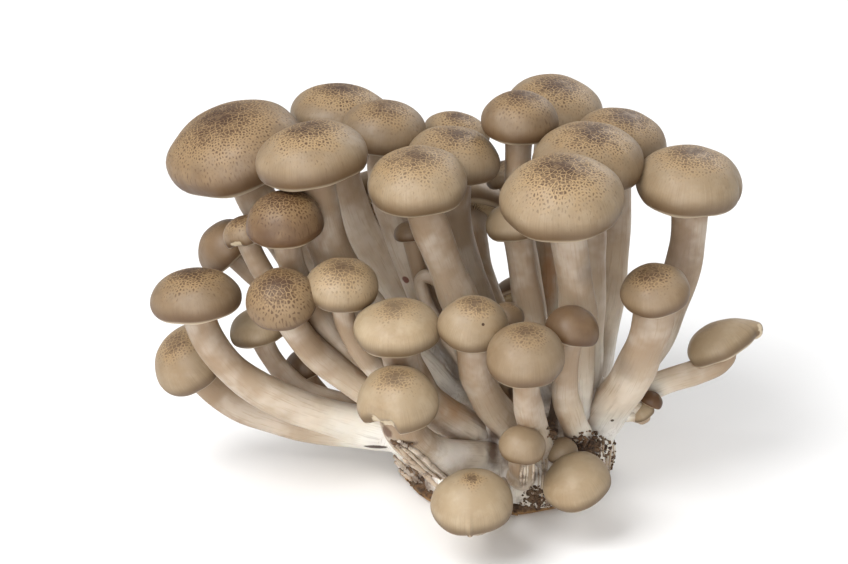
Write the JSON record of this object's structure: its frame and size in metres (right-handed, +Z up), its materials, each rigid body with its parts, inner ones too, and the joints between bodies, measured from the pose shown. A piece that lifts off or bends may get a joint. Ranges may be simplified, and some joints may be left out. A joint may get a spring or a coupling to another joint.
{
  "type": "beech mushroom cluster",
  "caption": "Cluster of brown beech mushrooms on pale stems that grow from one knot of flesh on a cut sawdust foot.",
  "frame": {"origin": "middle of the cut foot's flat underside, on the surface that the cluster stands on", "axes": "+Z up; -Y towards the front of the cluster, the side that the picture shows; +X to the right there"},
  "size_m": [0.1395, 0.1133, 0.0917],
  "materials": {
    "cap_skin": "smooth matt skin, tan to grey brown, with a fine net of darker brown in the middle of each cap",
    "flesh": "smooth pale cream stem flesh with faint lengthwise fibres and grey brown bruises",
    "gill": "thin cream gill blades",
    "sawdust": "dark brown crumbs of sawdust bound by white threads, tan where it was cut"
  },
  "bodies": {
    "root": {"foot": "sawdust", "stems": "flesh", "cap_big_left": "cap_skin", "cap_left_back": "cap_skin", "cap_left_top": "cap_skin", "cap_left_front": "cap_skin", "cap_dark_left": "cap_skin", "cap_broken": "cap_skin", "cap_side_left": "cap_skin", "cap_left_low": "cap_skin", "cap_left_face": "cap_skin", "cap_left_inner": "cap_skin", "cap_left_hidden": "cap_skin", "cap_left_bottom": "cap_skin", "button_left": "cap_skin", "button_tiny": "cap_skin", "cap_front_left": "cap_skin", "cap_front_mid": "cap_skin", "button_mid": "cap_skin", "cap_front_right": "cap_skin", "cap_dark_right": "cap_skin", "cap_torn": "cap_skin", "button_front": "cap_skin", "cap_front_low": "cap_skin", "cap_low_right": "cap_skin", "button_low_right": "cap_skin", "cap_mid_front": "cap_skin", "cap_mid": "cap_skin", "cap_mid_back": "cap_skin", "button_mid_dark": "cap_skin", "button_arched": "cap_skin", "cap_top": "cap_skin", "cap_top_back": "cap_skin", "button_top_back": "cap_skin", "cap_mid_low": "cap_skin", "cap_big_right": "cap_skin", "cap_right_mid": "cap_skin", "cap_right_back": "cap_skin", "cap_far_right": "cap_skin", "cap_right_low": "cap_skin", "cap_beaked": "cap_skin", "button_twin": "cap_skin", "cap_rear_left": "cap_skin", "cap_rear_mid": "cap_skin", "cap_rear_right": "cap_skin", "cap_rear_low_left": "cap_skin", "cap_rear_low": "cap_skin", "cap_rear_low_right": "cap_skin", "cap_rear_side": "cap_skin", "button_twin_low": "cap_skin"}
  },
  "joints": []
}
